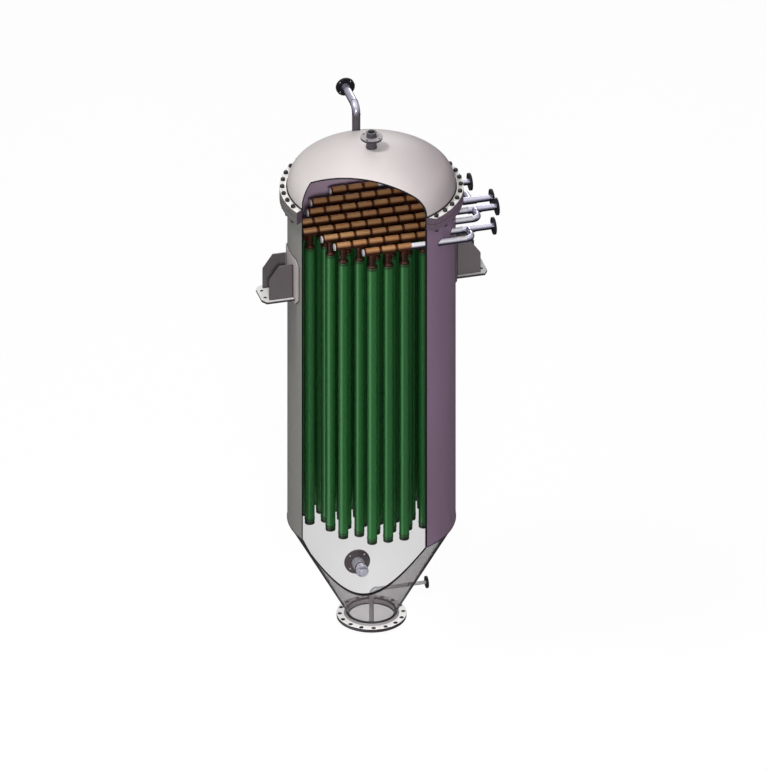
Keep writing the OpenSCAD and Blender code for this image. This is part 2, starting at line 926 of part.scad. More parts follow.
// Nipple, neck, collar and spigot of a candle head, turned in one piece
module candle_head() {
    rotate_extrude()
        polygon([
            [candle_bore / 2, union_top + nipple_in],
            [nipple_r, union_top + nipple_in],
            [nipple_r, union_end],
            [neck_r, union_end],
            [neck_r, sleeve_top + collar_h],
            [sleeve_od / 2, sleeve_top + collar_h / 2],
            [sleeve_od / 2, sleeve_top],
            [spigot_r, sleeve_top],
            [spigot_r, sleeve_top - spigot_h],
            [candle_bore / 2, sleeve_top - spigot_h]
        ]);
}

module candle_heads() {
    color("#4e3a28")
    for (row = [0 : row_last])
        at_candles(row) candle_head();
}

module candle_unions() {
    color("#7a4f2e")
    for (row = [0 : row_last])
        at_candles(row) tube(union_end, union_top, union_od / 2, nipple_r + fit_gap);
}

module candle_bottom_caps() {
    color("#2c2a26")
    for (row = [0 : row_last])
        at_candles(row) {
            translate([0, 0, candle_end]) cylinder(h = bottom_cap_h, r = sleeve_od / 2);
            translate([0, 0, candle_end]) cylinder(h = bottom_cap_h + spigot_h, r = spigot_r);
        }
}

module candle_clamps() {
    color("#8a8a8e")
    for (row = [0 : row_last])
        at_candles(row)
            for (z = [sleeve_end + spigot_h / 2 - clamp_h / 2, sleeve_top - spigot_h / 2 - clamp_h / 2])
                tube(z, z + clamp_h, sleeve_od / 2 + fit_gap + clamp_t, sleeve_od / 2 + fit_gap);
}

shell();
shell_flange();
head_gasket();
head_lower_nuts();
head_studs();
discharge_cone();
discharge_flange();
head();
head_flange();
head_upper_nuts();
centre_nozzle_pipe();
centre_nozzle_flange();
centre_nozzle_socket();
vent_riser();
vent_elbow();
vent_pipe();
vent_flange();
lug_pads();
lug_gussets();
lug_bases();
feed_pipe();
feed_flange();
drain_pipe();
drain_elbow();
drain_dip_pipe();
drain_flange();
register_pipes(0);  // register_pipes_1
register_pipes(1);  // register_pipes_2
register_pipes(2);  // register_pipes_3
register_pipes(3);  // register_pipes_4
register_pipes(4);  // register_pipes_5
register_pipes(5);  // register_pipes_6
register_pipes(6);  // register_pipes_7
register_pipes(7);  // register_pipes_8
register_tees(0);  // register_tees_1
register_tees(1);  // register_tees_2
register_tees(2);  // register_tees_3
register_tees(3);  // register_tees_4
register_tees(4);  // register_tees_5
register_tees(5);  // register_tees_6
register_tees(6);  // register_tees_7
register_tees(7);  // register_tees_8
register_end_caps();
outlet_elbows();
outlet_tees();
outlet_pipes();
outlet_flanges();
candle_sleeves(0);  // candle_sleeves_1
candle_sleeves(1);  // candle_sleeves_2
candle_sleeves(2);  // candle_sleeves_3
candle_sleeves(3);  // candle_sleeves_4
candle_sleeves(4);  // candle_sleeves_5
candle_sleeves(5);  // candle_sleeves_6
candle_sleeves(6);  // candle_sleeves_7
candle_sleeves(7);  // candle_sleeves_8
candle_cores();
candle_heads();
candle_unions();
candle_bottom_caps();
candle_clamps();
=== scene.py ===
"""A candle filter with its front sector cut away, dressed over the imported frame.

The shell, head, cone and flanges are turned again as fine plate. Geometry Nodes set out the
threaded studs and chamfered nuts and run the weld beads. Lengths are in metres.
"""

import math

import bmesh
import bpy
from mathutils import Matrix, Vector


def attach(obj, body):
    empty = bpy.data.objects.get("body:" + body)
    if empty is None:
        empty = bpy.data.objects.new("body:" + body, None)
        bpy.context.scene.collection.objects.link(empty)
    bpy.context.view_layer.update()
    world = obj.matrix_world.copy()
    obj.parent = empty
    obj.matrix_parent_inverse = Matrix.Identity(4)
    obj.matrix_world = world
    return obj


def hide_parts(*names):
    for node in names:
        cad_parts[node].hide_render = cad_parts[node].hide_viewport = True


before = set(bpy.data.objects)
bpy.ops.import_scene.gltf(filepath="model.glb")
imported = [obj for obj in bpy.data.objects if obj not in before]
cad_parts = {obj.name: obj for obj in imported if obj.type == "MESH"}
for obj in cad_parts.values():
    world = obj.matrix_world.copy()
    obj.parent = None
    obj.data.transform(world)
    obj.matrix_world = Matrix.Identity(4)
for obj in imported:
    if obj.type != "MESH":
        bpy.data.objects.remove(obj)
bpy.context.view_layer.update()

# Shell, cone and body flanges
SHELL_IN, SHELL_OUT, WALL = 0.600, 0.608, 0.008
NECK_OUT, NECK_FOOT, CONE_FOOT, SHELL_FOOT = 0.1778, 0.002, 0.042, 0.832
FACE, HEAD_FOOT, FLANGE_T = 3.527, 3.531, 0.048
FLANGE_R, BOLT_R, BOLT_HOLE_R, BOLT_COUNT = 0.665, 0.645, 0.0115, 40
# The gap round a pipe or a shell in its hole
FIT = 0.0003

# Head, a knuckle arc and a crown arc
KNUCKLE_Z, CROWN_R, KNUCKLE_R = 3.595, 0.9728, 0.187264
KNUCKLE_X = SHELL_OUT - KNUCKLE_R
CROWN_Z = KNUCKLE_Z - math.sqrt((CROWN_R - KNUCKLE_R) ** 2 - KNUCKLE_X**2)
CROWN_EDGE = math.asin(KNUCKLE_X / (CROWN_R - KNUCKLE_R))
HEAD_TOP = CROWN_Z + CROWN_R

# Registers, in rows from the back to the front
REGISTER_Z, REGISTER_R, ROW_PITCH = 3.307, 0.02415, 0.132
ROW_COUNTS = (3, 6, 7, 9, 9, 7, 6, 3)
ROW_Y = [(3.5 - row) * ROW_PITCH for row in range(len(ROW_COUNTS))]

# Nozzles, each with its pipe's outside radius and the place of its middle
FEED_R, FEED_Z = 0.04445, 0.228
DRAIN_R, DRAIN_Z = 0.01345, 0.216
VENT_R, VENT_Y = 0.03015, 0.424
CENTRE_R = 0.03805

# Lugs
PAD_R, LUG_Z, LUG_TURNS = 0.6183, 2.799, (180, 0, 90)

# Discharge flange, a plate with a tapered hub and a circle of holes
PLATE_R, PLATE_T, HUB_TOP, HUB_FOOT, HUB_LIP = 0.2525, 0.026, 0.040, 0.022, 0.006
HOLE_CIRCLE, HOLE_R, HOLE_COUNT = 0.230, 0.011, 16

# The sector that is cut away, by its corner in plan and the angles of its two faces
CUT_CORNER = Vector((-0.491, -0.140))
LONG_CUT, SIDE_CUT = math.radians(28.4), math.radians(37)
CUT_NORMALS = (
    (-math.sin(LONG_CUT), -math.cos(LONG_CUT)),
    (math.sin(SIDE_CUT), -math.cos(SIDE_CUT)),
)


def past_cut(x, y):
    """How far a point in plan lies inside the sector that is cut away."""
    return min((x - CUT_CORNER.x) * nx + (y - CUT_CORNER.y) * ny for nx, ny in CUT_NORMALS)


def cone_r(z):
    """The cone's outside radius at a height."""
    return NECK_OUT + (z - CONE_FOOT) * (SHELL_OUT - NECK_OUT) / (SHELL_FOOT - CONE_FOOT)


def head_height(r):
    """The height of the head's crown at a radius."""
    return CROWN_Z + math.sqrt(CROWN_R**2 - r**2)


# A stud stays where its nuts clear the cut
NUT_REACH = 0.0183
BOLT_TURNS = [math.radians((k + 0.5) * 360 / BOLT_COUNT) for k in range(BOLT_COUNT)]
BOLTS = [(BOLT_R * math.cos(a), BOLT_R * math.sin(a)) for a in BOLT_TURNS]
BOLTS = [place for place in BOLTS if past_cut(*place) < -NUT_REACH]


# Camera and lamps

LOOK_DOWN = math.radians(30)
VIEW = Vector((0.2605 * math.cos(LOOK_DOWN), 0.9655 * math.cos(LOOK_DOWN), -0.5))
VIEW_WIDTH, VIEW_DISTANCE = 5.559, 12
CENTRE = Vector((0.0836, -0.0226, 1.920))


def put(name, data):
    """Links a new object to the scene."""
    thing = bpy.data.objects.new(name, data)
    bpy.context.scene.collection.objects.link(thing)
    return thing


eye = bpy.data.cameras.new("eye")
eye.type = "ORTHO"
eye.ortho_scale = VIEW_WIDTH
eye.clip_end = 60
eye_holder = put("eye", eye)
eye_holder.location = CENTRE - VIEW_DISTANCE * VIEW
eye_holder.rotation_euler = VIEW.to_track_quat("-Z", "Y").to_euler()
bpy.context.scene.camera = eye_holder
bpy.context.scene.view_settings.view_transform = "Standard"


def hang(light, place, aim):
    """Puts a light at a place and turns it to its aim."""
    holder = put(light.name, light)
    holder.location = place
    holder.rotation_euler = (aim - Vector(place)).to_track_quat("-Z", "Y").to_euler()


for name, place, size, power in (
    ("key_lamp", (-4.3, -0.2, 12.2), 2.6, 465),
    ("front_lamp", (-2.3, -8.85, 7.2), 1.6, 500),
    ("back_lamp", (3.0, 8.0, 6.0), 4.0, 120),
):
    light = bpy.data.lights.new(name, "AREA")
    light.shape, light.size, light.energy = "DISK", size, power
    hang(light, place, CENTRE)
light = bpy.data.lights.new("foot_lamp", "SPOT")
light.energy, light.shadow_soft_size = 520, 0.3
light.spot_size, light.spot_blend = 0.26, 0.6
hang(light, (-1.1, -4.0, 3.4), Vector((0, -0.05, -0.05)))


# Node helpers


class Web:
    """Adds nodes to a tree; a socket given as an input is linked, any other value is set."""

    def __init__(self, tree):
        self.tree = tree

    def __call__(self, kind, inputs=None, **settings):
        node = self.tree.nodes.new(kind)
        for name, value in settings.items():
            setattr(node, name, value)
        for name, value in (inputs or {}).items():
            self.join(value, node.inputs[name])
        return node

    def join(self, value, socket):
        if isinstance(value, bpy.types.NodeSocket):
            self.tree.links.new(value, socket)
        else:
            socket.default_value = value

    def maths(self, operation, a, b=0.0, c=0.0, clamp=False):
        inputs = {0: a, 1: b, 2: c}
        return self("ShaderNodeMath", inputs, operation=operation, use_clamp=clamp).outputs[0]

    def length(self, x, y):
        squares = [self.maths("MULTIPLY", side, side) for side in (x, y)]
        return self.maths("SQRT", self.maths("ADD", *squares))

    def dot(self, a, b):
        return self("ShaderNodeVectorMath", {0: a, 1: b}, operation="DOT_PRODUCT").outputs["Value"]

    def span(self, value, low, high, out_low=0.0, out_high=1.0):
        inputs = {0: value, 1: low, 2: high, 3: out_low, 4: out_high}
        return self("ShaderNodeMapRange", inputs).outputs[0]

    def mix(self, share, a, b):
        inputs = {0: share, 6: a, 7: b}
        return self("ShaderNodeMix", inputs, data_type="RGBA", clamp_factor=True).outputs[2]

    def place(self):
        return self("ShaderNodeTexCoord").outputs["Object"]

    def parts(self, vector):
        return self("ShaderNodeSeparateXYZ", {0: vector}).outputs

    def noise(self, place, scale, detail=2.0, roughness=0.5):
        inputs = {"Vector": place, "Scale": scale, "Detail": detail, "Roughness": roughness}
        return self("ShaderNodeTexNoise", inputs).outputs[0]


def shader_group(name, inputs, outputs):
    """A shader node group; returns its web and the sockets of its input and output nodes."""
    tree = bpy.data.node_groups.new(name, "ShaderNodeTree")
    kinds = {float: "NodeSocketFloat", Vector: "NodeSocketVector"}
    for label, value in inputs.items():
        socket = tree.interface.new_socket(label, in_out="INPUT", socket_type=kinds[type(value)])
        socket.default_value = value
    for label, kind in outputs.items():
        tree.interface.new_socket(label, in_out="OUTPUT", socket_type=kinds[kind])
    web = Web(tree)
    return web, web("NodeGroupInput").outputs, web("NodeGroupOutput").inputs


def linear(rgb):
    """A colour written 0 to 255 as the screen shows it, in the values that a shader takes."""
    out = [v / 255 for v in rgb]
    out = [v / 12.92 if v <= 0.04045 else ((v + 0.055) / 1.055) ** 2.4 for v in out]
    return (*out, 1.0)


# Effects that the finishes share


def grain_group():
    """Fine grain for roughness and relief, and a slow cloud for colour."""
    web, given, out = shader_group(
        "surface_grain",
        {"Scale": 60.0, "Stretch": Vector((1, 1, 1)), "Fine share": 0.5},
        {"Grain": float, "Cloud": float},
    )
    place = web(
        "ShaderNodeVectorMath", {0: web.place(), 1: given["Stretch"]}, operation="MULTIPLY"
    ).outputs[0]
    fine = web.noise(place, given["Scale"], 3.0, 0.6)
    coarse = web.noise(place, 3.1, 4.0)
    grain = web("ShaderNodeMix", {0: given["Fine share"], 2: coarse, 3: fine}).outputs[0]
    web.join(grain, out["Grain"])
    web.join(web.span(coarse, 0.3, 0.7), out["Cloud"])


def wear_group():
    """A broken line along edges, where a rounded normal leaves the flat one."""
    web, given, out = shader_group(
        "edge_wear", {"Reach": 0.004, "Amount": 0.7, "Breakup": 55.0}, {"Mask": float}
    )
    rounded = web("ShaderNodeBevel", {"Radius": given["Reach"]}, samples=6).outputs[0]
    flat = web("ShaderNodeNewGeometry").outputs["Normal"]
    edge = web.span(web.dot(rounded, flat), 0.985, 0.86)
    speck = web.noise(web.place(), given["Breakup"], 4.0)
    broken = web.maths("MULTIPLY", edge, web.span(speck, 0.36, 0.62))
    web.join(web.maths("MULTIPLY", broken, given["Amount"]), out["Mask"])


def dust_group():
    """Patches of dust on what faces up."""
    web, given, out = shader_group(
        "settled_dust", {"Amount": 0.2, "Up share": 1.0}, {"Mask": float}
    )
    up = web.parts(web("ShaderNodeNewGeometry").outputs["Normal"])[2]
    lies = web.maths("MULTIPLY", web.span(up, 0.2, 0.95), given["Up share"])
    patch = web.noise(web.place(), 9.0, 5.0)
    both = web.maths("MULTIPLY", lies, web.span(patch, 0.35, 0.7))
    web.join(web.maths("MULTIPLY", both, given["Amount"]), out["Mask"])


def cut_group():
    """The faces that the cut has bared, to a depth behind its two planes."""
    web, given, out = shader_group("cut_faces", {"Depth": 0.0045}, {"Mask": float})
    x, y, _ = web.parts(web.place())
    sides = []
    for nx, ny in CUT_NORMALS:
        reach = web.maths("ADD", web.maths("MULTIPLY", x, nx), web.maths("MULTIPLY", y, ny))
        sides.append(web.maths("SUBTRACT", reach, CUT_CORNER.x * nx + CUT_CORNER.y * ny))
    behind = web.maths("MULTIPLY", given["Depth"], -1.0)
    web.join(web.maths("GREATER_THAN", web.maths("MINIMUM", *sides), behind), out["Mask"])


def hole_shade_group():
    """Painted shade: round dark marks about the holes of a bolt circle, half a step off the X axis.
    """
    web, given, out = shader_group(
        "bolt_marks", {"Count": float(HOLE_COUNT), "Circle": HOLE_CIRCLE, "Reach": 0.0165},
        {"Mask": float},
    )
    x, y, _ = web.parts(web.place())
    turn = web.maths("ARCTAN2", y, x)
    step = web.maths("DIVIDE", 2 * math.pi, given["Count"])
    whole = web.maths("FLOOR", web.maths("DIVIDE", turn, step))
    nearest = web.maths("MULTIPLY", web.maths("ADD", whole, 0.5), step)
    off = web.maths("SUBTRACT", turn, nearest)
    r = web.length(x, y)
    along = web.maths("MULTIPLY", r, web.maths("COSINE", off))
    across = web.maths("MULTIPLY", r, web.maths("SINE", off))
    away = web.length(web.maths("SUBTRACT", along, given["Circle"]), across)
    web.join(web.maths("LESS_THAN", away, given["Reach"]), out["Mask"])


def ripple_group():
    """The steps along a weld bead."""
    web, given, out = shader_group("bead_ripple", {"Pitch": 0.0045}, {"Height": float})
    along = web("ShaderNodeAttribute", attribute_name="along").outputs["Fac"]
    wave = web.maths("DIVIDE", along, given["Pitch"])
    uneven = web.maths("ADD", wave, web.noise(web.place(), 140.0))
    web.join(web.maths("FRACT", uneven), out["Height"])


def pores_group():
    """The pores and lumps of a sintered tube."""
    web, given, out = shader_group("sintered_pores", {"Size": 700.0}, {"Height": float})
    place = web.place()
    grain = web("ShaderNodeTexVoronoi", {"Vector": place, "Scale": given["Size"]}).outputs[0]
    web.join(web.maths("ADD", grain, web.noise(place, 90.0, 4.0)), out["Height"])


for make in (grain_group, wear_group, dust_group, cut_group, hole_shade_group, ripple_group, pores_group):
    make()


# Finishes

# Where painted light and shade set in: along X for the left and right sides, and over the normal's
# Z for a lit top
LEFT_SHADING_FADE, RIGHT_SHADING_FADE, LIT_TOP_FADE = (-0.2, -0.58), (0.05, 0.56), (0.8, 0.95)
# The radius within which the discharge flange's hub gets painted shade
HUB_SHADE_REACH = 0.2
DUST = (196, 190, 182)
# A bare pipe end's own pale colour, and the painted shade on its underside with the tilt over which
# it sets in
BARE_PIPE, BARE_PIPE_SHADE, BARE_PIPE_SHADE_FADE = (236, 234, 242), (34, 32, 54), (0.6, 0.0)
# The see-through wall is denser at its outline, and on its outside than on its inside
RIM_FADE, RIM_DENSITY = (0.79, 0.88), 0.65
SLANT_DENSITY, OUTSIDE_DENSITY = 0.06, 0.16
CLEAR_CUT_DEPTH = 0.006
GLOSS_IOR = 2.6


def finish(
    name, colour, tint, metallic=0.0, rough=(0.35, 0.5), shine=0.5, gloss=None, grain=60.0,
    stretch=(1, 1, 1), bump=0.0006, relief=None, left=None, right_painted_shading=None, painted_underside_shade=None,
    turn=(0.25, -0.45), far_end=None, bright_top=None, hub_painted_shade=None, inside=None, bolts=None,
    worn=None, wear=0.5, dust=0.0, cut=None, clear=None,
):
    """A surface that drifts between a colour and a tint, with grain, worn edges and dust.

    left and right_painted_shading are painted light and shade on either side along
    X, bright_top is painted light on what faces up, painted_underside_shade is painted shade on
    what faces down, hub_painted_shade is painted shade near the middle, inside is painted light on
    inward faces and bolts is painted shade round bolt holes; worn and cut are the tones of single
    places. turn is the tilt over which the painted underside shade sets in, far_end is how far
    along
    X a register pipe turns bare, with painted shade on its underside, clear is the density of a
    see-through wall, gloss tints a strong reflection, and relief names the group that shapes the
    surface in place of its grain.
    """
    material = bpy.data.materials.new(name)
    material.use_nodes = True
    tree = material.node_tree
    tree.nodes.clear()
    web = Web(tree)

    def use(group, **inputs):
        node = web("ShaderNodeGroup", node_tree=bpy.data.node_groups[group])
        for label, value in inputs.items():
            node.inputs[label].default_value = value
        return node.outputs

    surface = use("surface_grain", Scale=grain, Stretch=stretch)
    body = web.mix(surface["Cloud"], linear(colour), linear(tint))
    x, y, _ = web.parts(web.place())
    # Painted light and shade: a tone that fades in towards the left side, and one towards the right
    # side
    if left:
        body = web.mix(web.span(x, *LEFT_SHADING_FADE), body, linear(left))
    if right_painted_shading:
        body = web.mix(web.span(x, *RIGHT_SHADING_FADE), body, linear(right_painted_shading))
    normal = web("ShaderNodeNewGeometry").outputs["Normal"]
    radial = web("ShaderNodeCombineXYZ", {0: x, 1: y}).outputs[0]
    if inside or clear:
        outside = web.maths("GREATER_THAN", web.dot(normal, radial), 0.0)
    tilt = web.parts(normal)[2]
    # Painted shade on what faces down, setting in over a range of the normal's tilt
    if painted_underside_shade:
        body = web.mix(web.span(tilt, *turn), body, linear(painted_underside_shade))
    # A bare pipe end in its own pale colour, with painted shade on its underside
    if far_end:
        shade = web.span(tilt, *BARE_PIPE_SHADE_FADE)
        bare = web.mix(shade, linear(BARE_PIPE), linear(BARE_PIPE_SHADE))
        body = web.mix(web.maths("GREATER_THAN", x, far_end), body, bare)
    # Painted light on what faces up
    if bright_top:
        body = web.mix(web.span(tilt, *LIT_TOP_FADE), body, linear(bright_top))
    # Painted shade on the hub, within a radius of the middle
    if hub_painted_shade:
        reach = web("ShaderNodeVectorMath", {0: radial}, operation="LENGTH").outputs["Value"]
        body = web.mix(web.maths("LESS_THAN", reach, HUB_SHADE_REACH), body, linear(hub_painted_shade))
    # Painted light on inward faces
    if inside:
        body = web.mix(outside, linear(inside), body)
    # Painted shade round the bolt holes
    if bolts:
        body = web.mix(use("bolt_marks")["Mask"], body, linear(bolts))
    if worn:
        body = web.mix(use("edge_wear", Amount=wear)["Mask"], body, linear(worn))
    if dust:
        body = web.mix(use("settled_dust", Amount=dust)["Mask"], body, linear(DUST))
    if cut:
        body = web.mix(use("cut_faces")["Mask"], body, linear(cut))
    if clear:
        slant = web("ShaderNodeLayerWeight", {"Blend": 0.5}).outputs["Facing"]
        rim = web.span(slant, *RIM_FADE)
        body = web.mix(rim, body, linear(cut))
    shader = web("ShaderNodeBsdfPrincipled", {"Base Color": body, "Metallic": metallic})
    shader.inputs["Specular IOR Level"].default_value = shine
    if gloss:
        shader.inputs["IOR"].default_value = GLOSS_IOR
        shader.inputs["Specular Tint"].default_value = linear(gloss)
    web.join(web.span(surface["Grain"], 0.25, 0.75, *rough), shader.inputs["Roughness"])
    height = use(relief)["Height"] if relief else surface["Grain"]
    lift = web("ShaderNodeBump", {"Height": height, "Strength": 1.0, "Distance": bump})
    web.join(lift.outputs[0], shader.inputs["Normal"])
    if clear:
        density = web.maths("MULTIPLY_ADD", slant, SLANT_DENSITY, clear)
        density = web.maths("MULTIPLY_ADD", rim, RIM_DENSITY, density)
        density = web.maths("MULTIPLY_ADD", outside, OUTSIDE_DENSITY, density, clamp=True)
        lit = web.maths("SUBTRACT", 1.0, web("ShaderNodeLightPath").outputs["Is Shadow Ray"])
        density = web.maths("MULTIPLY", density, lit)
        bared = use("cut_faces", Depth=CLEAR_CUT_DEPTH)["Mask"]
        web.join(web.maths("MAXIMUM", bared, density), shader.inputs["Alpha"])
    web("ShaderNodeOutputMaterial", {0: shader.outputs[0]})
    return material


FINISHES = {
    # Painted light: a lighter, greyer tone towards the left side, and a lighter inner face
    "shell_steel": dict(
        colour=(139, 114, 139), tint=(132, 108, 130), left=(147, 146, 142), inside=(192, 168, 190),
        metallic=0.1, shine=0.25, stretch=(1, 1, 0.25), worn=(150, 142, 148), wear=0.3, dust=0.04,
        cut=(12, 10, 14),
    ),
    # Painted shade: a little darker towards the left side, and darker and pinker towards the right
    # side
    "head_steel": dict(
        colour=(228, 220, 219), tint=(219, 212, 210), left=(212, 205, 203), right_painted_shading=(184, 171, 176),
        metallic=0.05, rough=(0.42, 0.55), shine=0.3, worn=(236, 234, 232), wear=0.3, dust=0.05,
        cut=(14, 12, 16),
    ),
    "cone_steel": dict(
        colour=(108, 96, 100), tint=(94, 84, 88), clear=0.175, bump=0.0002, cut=(8, 7, 9),
        shine=0.2,
    ),
    # Painted light: the top faces near white above the darker sides
    "flange_steel": dict(
        colour=(58, 55, 58), tint=(46, 43, 46), metallic=0.05, grain=140.0,
        bright_top=(248, 245, 243), worn=(40, 38, 42), wear=0.9, dust=0.05,
    ),
    # Painted light and shade: a near-white top, painted shade on the hub and round the bolt holes,
    # and a lighter bore as painted light
    "drilled_flange": dict(
        colour=(58, 55, 58), tint=(46, 43, 46), metallic=0.05, grain=140.0, bolts=(44, 42, 46),
        bright_top=(250, 248, 246), worn=(40, 38, 42), wear=0.9, hub_painted_shade=(150, 146, 149),
        inside=(222, 217, 220),
    ),
    # Painted light: lighter and greyer towards the left side
    "lower_flange": dict(
        colour=(121, 99, 119), tint=(111, 92, 109), left=(121, 118, 117), metallic=0.1, grain=140.0,
        worn=(50, 44, 52), wear=0.8, dust=0.04, cut=(92, 78, 90), shine=0.25,
    ),
    "gasket": dict(colour=(40, 36, 38), tint=(50, 46, 46), rough=(0.7, 0.9), grain=240.0),
    "bolting": dict(
        colour=(44, 42, 46), tint=(32, 30, 34), metallic=0.5, rough=(0.35, 0.5), grain=220.0,
        worn=(120, 118, 120), wear=0.5,
    ),
    "dark_nozzle": dict(
        colour=(90, 85, 92), tint=(74, 70, 77), metallic=0.3, worn=(30, 26, 34), wear=0.6,
        dust=0.08,
    ),
    "dark_flange": dict(
        colour=(26, 26, 34), tint=(18, 18, 25), shine=0.15, worn=(96, 94, 104), wear=0.5,
    ),
    # Painted shade: dark blue-grey on the undersides
    "pipe_steel": dict(
        colour=(211, 209, 226), tint=(199, 197, 216), metallic=0.8, rough=(0.16, 0.24),
        painted_underside_shade=(30, 30, 50), turn=(0.5, -0.1), worn=(100, 96, 112), wear=0.5, dust=0.05,
    ),
    # Painted light: much lighter towards the left side
    "pad_steel": dict(
        colour=(98, 88, 96), tint=(90, 80, 88), left=(186, 178, 176), worn=(60, 54, 58),
        wear=0.7, dust=0.05,
    ),
    # Painted light: a little lighter towards the right side
    "gusset_paint": dict(
        colour=(101, 95, 97), tint=(93, 87, 90), right_painted_shading=(108, 101, 103), worn=(44, 40, 43), wear=0.8,
        dust=0.03, shine=0.2,
    ),
    # Painted light: the top faces near white above the dark sides
    "base_paint": dict(
        colour=(56, 52, 54), tint=(46, 43, 45), bright_top=(228, 227, 226), worn=(56, 52, 54),
        wear=0.9, dust=0.05,
    ),
    "drain_steel": dict(
        colour=(222, 221, 231), tint=(209, 208, 220), metallic=0.1, rough=(0.3, 0.45),
        worn=(60, 58, 68), wear=0.8,
    ),
    "feed_flange_paint": dict(
        colour=(86, 79, 82), tint=(77, 71, 74), metallic=0.1, worn=(40, 36, 40), wear=0.8,
    ),
    "cap_steel": dict(
        colour=(210, 207, 211), tint=(196, 193, 199), metallic=0.2, worn=(90, 84, 90), wear=0.9,
    ),
    # Painted light: a lighter top above the dark sides
    "centre_flange_paint": dict(
        colour=(58, 54, 62), tint=(46, 43, 50), bright_top=(166, 160, 164), worn=(40, 36, 42),
        wear=0.9, dust=0.05,
    ),
    "dip_steel": dict(
        colour=(166, 165, 168), tint=(150, 149, 152), metallic=0.1, worn=(80, 80, 82), wear=0.5,
    ),
    # Painted shade: near black on the undersides
    "register_pipe": dict(
        colour=(92, 48, 20), tint=(72, 34, 11), rough=(0.4, 0.6), worn=(60, 34, 16), wear=0.3,
        painted_underside_shade=(36, 16, 4), turn=(0.8, 0.1), shine=0.15,
    ),
    # Painted highlight and shade: golden only on top, turning dark brown underneath
    "register_tee": dict(
        colour=(204, 158, 107), tint=(185, 126, 77), metallic=0.3, rough=(0.26, 0.34),
        painted_underside_shade=(62, 28, 8), turn=(0.92, 0.05), worn=(52, 26, 8), wear=0.9, dust=0.03,
    ),
    "candle_fitting": dict(
        colour=(68, 38, 26), tint=(48, 25, 15), metallic=0.5, rough=(0.3, 0.45),
        worn=(28, 12, 6), wear=0.8,
    ),
    "candle_cap": dict(
        colour=(22, 44, 24), tint=(14, 30, 16), rough=(0.35, 0.5), worn=(16, 28, 17), wear=0.6,
    ),
    "clamp_steel": dict(
        colour=(62, 74, 60), tint=(46, 56, 45), metallic=0.6, rough=(0.3, 0.45),
        grain=260.0, worn=(110, 120, 108), wear=0.4,
    ),
    "core_steel": dict(
        colour=(150, 150, 150), tint=(134, 134, 134), metallic=0.8, worn=(190, 190, 190), wear=0.3,
    ),
    "candle_sleeve": dict(
        colour=(40, 98, 50), tint=(33, 86, 42), gloss=(148, 208, 152), rough=(0.24, 0.32),
        bump=0.00002, relief="sintered_pores", stretch=(1, 1, 0.03),
    ),
    "weld_steel": dict(
        colour=(92, 84, 90), tint=(66, 58, 66), metallic=0.5, relief="bead_ripple",
    ),
    "dark_weld": dict(
        colour=(34, 32, 34), tint=(22, 20, 22), metallic=0.3, rough=(0.4, 0.55),
        relief="bead_ripple",
    ),
}
# Painted light: the head flange's ring takes the lower flange's finish with a near-white top
FINISHES["body_flange"] = dict(FINISHES["lower_flange"], bright_top=(250, 247, 243))
# Each register pipe turns a bare pale colour past the shell, with painted shade on its underside
PIPE_ENDS = {3: 0.170, 6: 0.350, 7: 0.410, 9: 0.530}
for count, far_end in PIPE_ENDS.items():
    FINISHES[f"register_pipe_{count}"] = dict(FINISHES["register_pipe"], far_end=far_end)
FINISH = {name: finish(name, **values) for name, values in FINISHES.items()}

# The finish of a node, where it isn't the one that the frame names
OWN_FINISH = {
    "register_end_caps": "cap_steel", "centre_nozzle_flange": "centre_flange_paint",
    "feed_flange": "feed_flange_paint", "drain_dip_pipe": "dip_steel",
    "drain_flange": "dark_flange", "drain_pipe": "dip_steel", "drain_elbow": "dip_steel",
}
for row, count in enumerate(ROW_COUNTS):
    OWN_FINISH[f"register_pipes_{row + 1}"] = f"register_pipe_{count}"
for node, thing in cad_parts.items():
    packed = thing.data.materials[0].name.split(".")[0]
    thing.data.materials[0] = FINISH[OWN_FINISH.get(node, packed)]


# Mesh helpers


def dress(mesh, name, finish_name, body, replaced=(), crease=32):
    """Links a mesh as a piece, smooth up to a crease angle, with its finish and body."""
    mesh.shade_smooth()
    mesh.set_sharp_from_angle(angle=math.radians(crease))
    mesh.materials.clear()
    mesh.materials.append(FINISH[finish_name])
    thing = put(name, mesh)
    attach(thing, body)
    if replaced:
        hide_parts(*replaced)


def turned(bm, profile, steps, place=Matrix()):
    """Adds a closed profile of radius and height, turned about Z and then placed by a matrix."""
    angles = [2 * math.pi * k / steps for k in range(steps)]
    rings = []
    for r, z in profile:
        if r < 1e-6:
            rings.append([bm.verts.new(place @ Vector((0, 0, z)))] * steps)
            continue
        spots = [place @ Vector((r * math.cos(a), r * math.sin(a), z)) for a in angles]
        rings.append([bm.verts.new(spot) for spot in spots])
    for low, high in zip(rings, rings[1:] + rings[:1]):
        for k in range(steps):
            j = (k + 1) % steps
            corners = list(dict.fromkeys((low[k], low[j], high[j], high[k])))
            if len(corners) > 2:
                bm.faces.new(corners)


def eased(points, radius, steps=2):
    """A closed profile with each corner rounded by up to a radius."""
    out = []
    count = len(points)
    for i, point in enumerate(points):
        here = Vector(point)
        before, after = Vector(points[i - 1]) - here, Vector(points[(i + 1) % count]) - here
        reach = min(radius, before.length * 0.45, after.length * 0.45)
        start, end = here + before.normalized() * reach, here + after.normalized() * reach
        for k in range(steps + 1):
            t = k / steps
            out.append(tuple((1 - t) ** 2 * start + 2 * t * (1 - t) * here + t**2 * end))
    return out


def ring_profile(z0, z1, r_in, r_out, radius, steps=2):
    """The closed profile of a plain ring with eased edges."""
    return eased([(r_in, z0), (r_out, z0), (r_out, z1), (r_in, z1)], radius, steps)


